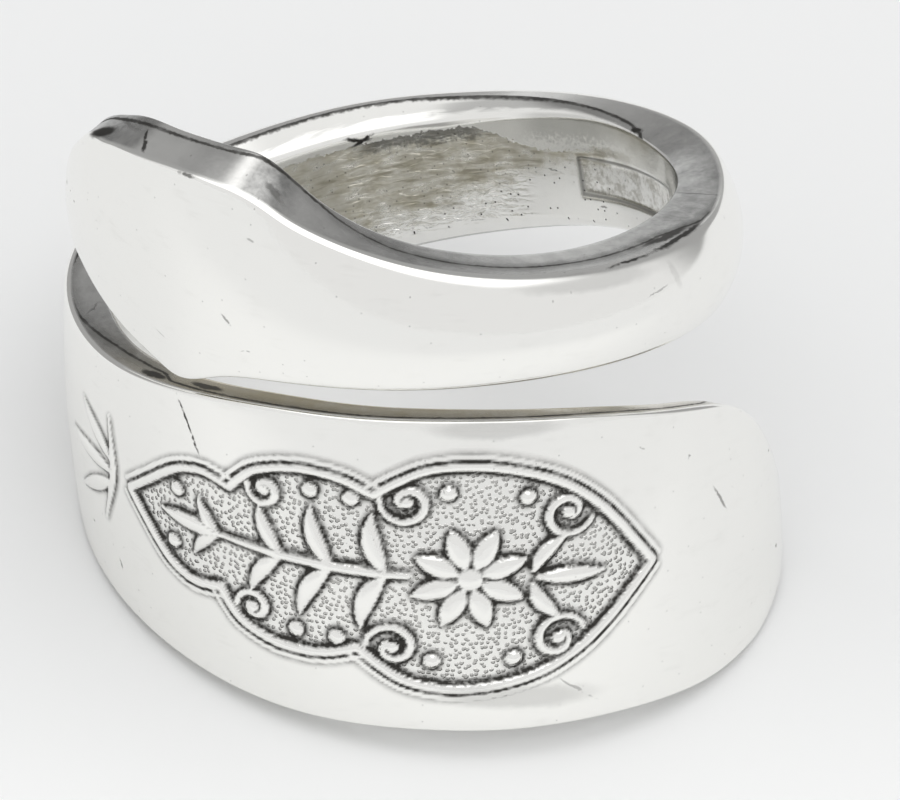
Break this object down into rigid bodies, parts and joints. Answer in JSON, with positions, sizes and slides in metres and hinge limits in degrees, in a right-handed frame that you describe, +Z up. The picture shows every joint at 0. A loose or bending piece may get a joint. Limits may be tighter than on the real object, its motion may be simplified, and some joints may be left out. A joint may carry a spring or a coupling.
{
  "type": "spoon ring",
  "caption": "Silver-plated ring bent from a spoon handle in a spiral, with a wide relief-patterned end below a plain flared one.",
  "frame": {"origin": "middle of the underside, on the surface that the ring rests on by itself", "axes": "+Z up, -Y towards the side with the patterned end; the finger's hole leans from +Z by the ring's own lean"},
  "size_m": [0.0238, 0.0232, 0.0179],
  "materials": {
    "silver_plate": "polished"
  },
  "bodies": {
    "root": {"ring_band": "silver_plate"}
  },
  "joints": []
}
